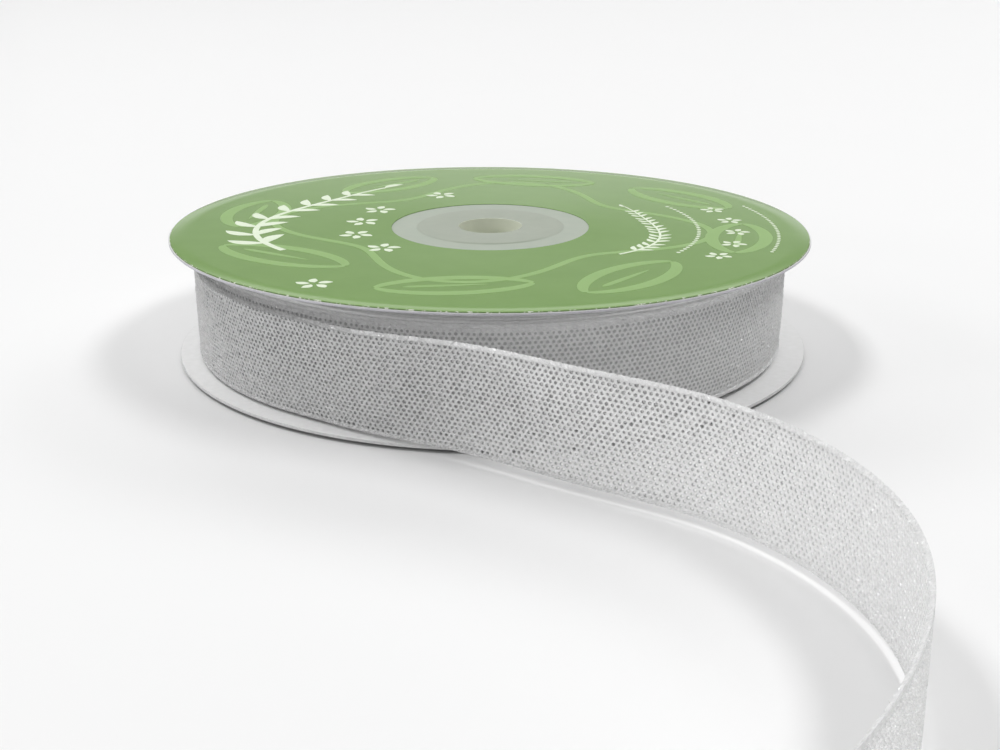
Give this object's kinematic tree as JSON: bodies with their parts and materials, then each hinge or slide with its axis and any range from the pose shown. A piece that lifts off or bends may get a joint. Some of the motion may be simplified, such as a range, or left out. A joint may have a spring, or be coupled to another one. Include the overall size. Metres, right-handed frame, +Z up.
{
  "type": "roll of sheer ribbon",
  "caption": "Roll of sheer white ribbon on a round card spool with a printed green face, its loose end standing on edge.",
  "frame": {"origin": "centre of the footprint, on the surface that the spool and the loose end rest on", "axes": "+Z up along the spool's axis; +Y from the cut end of the loose end towards the spool"},
  "size_m": [0.102, 0.2084, 0.0202],
  "materials": {
    "card": "matte white board",
    "label": "printed, slightly glossy",
    "core": "moulded, matte",
    "ribbon": "sheer white net with a slight sparkle"
  },
  "bodies": {
    "root": {"flange_bottom": "card", "flange_top": "card", "label": "label", "core": "core", "ribbon_roll": "ribbon", "loose_end": "ribbon"}
  },
  "joints": []
}
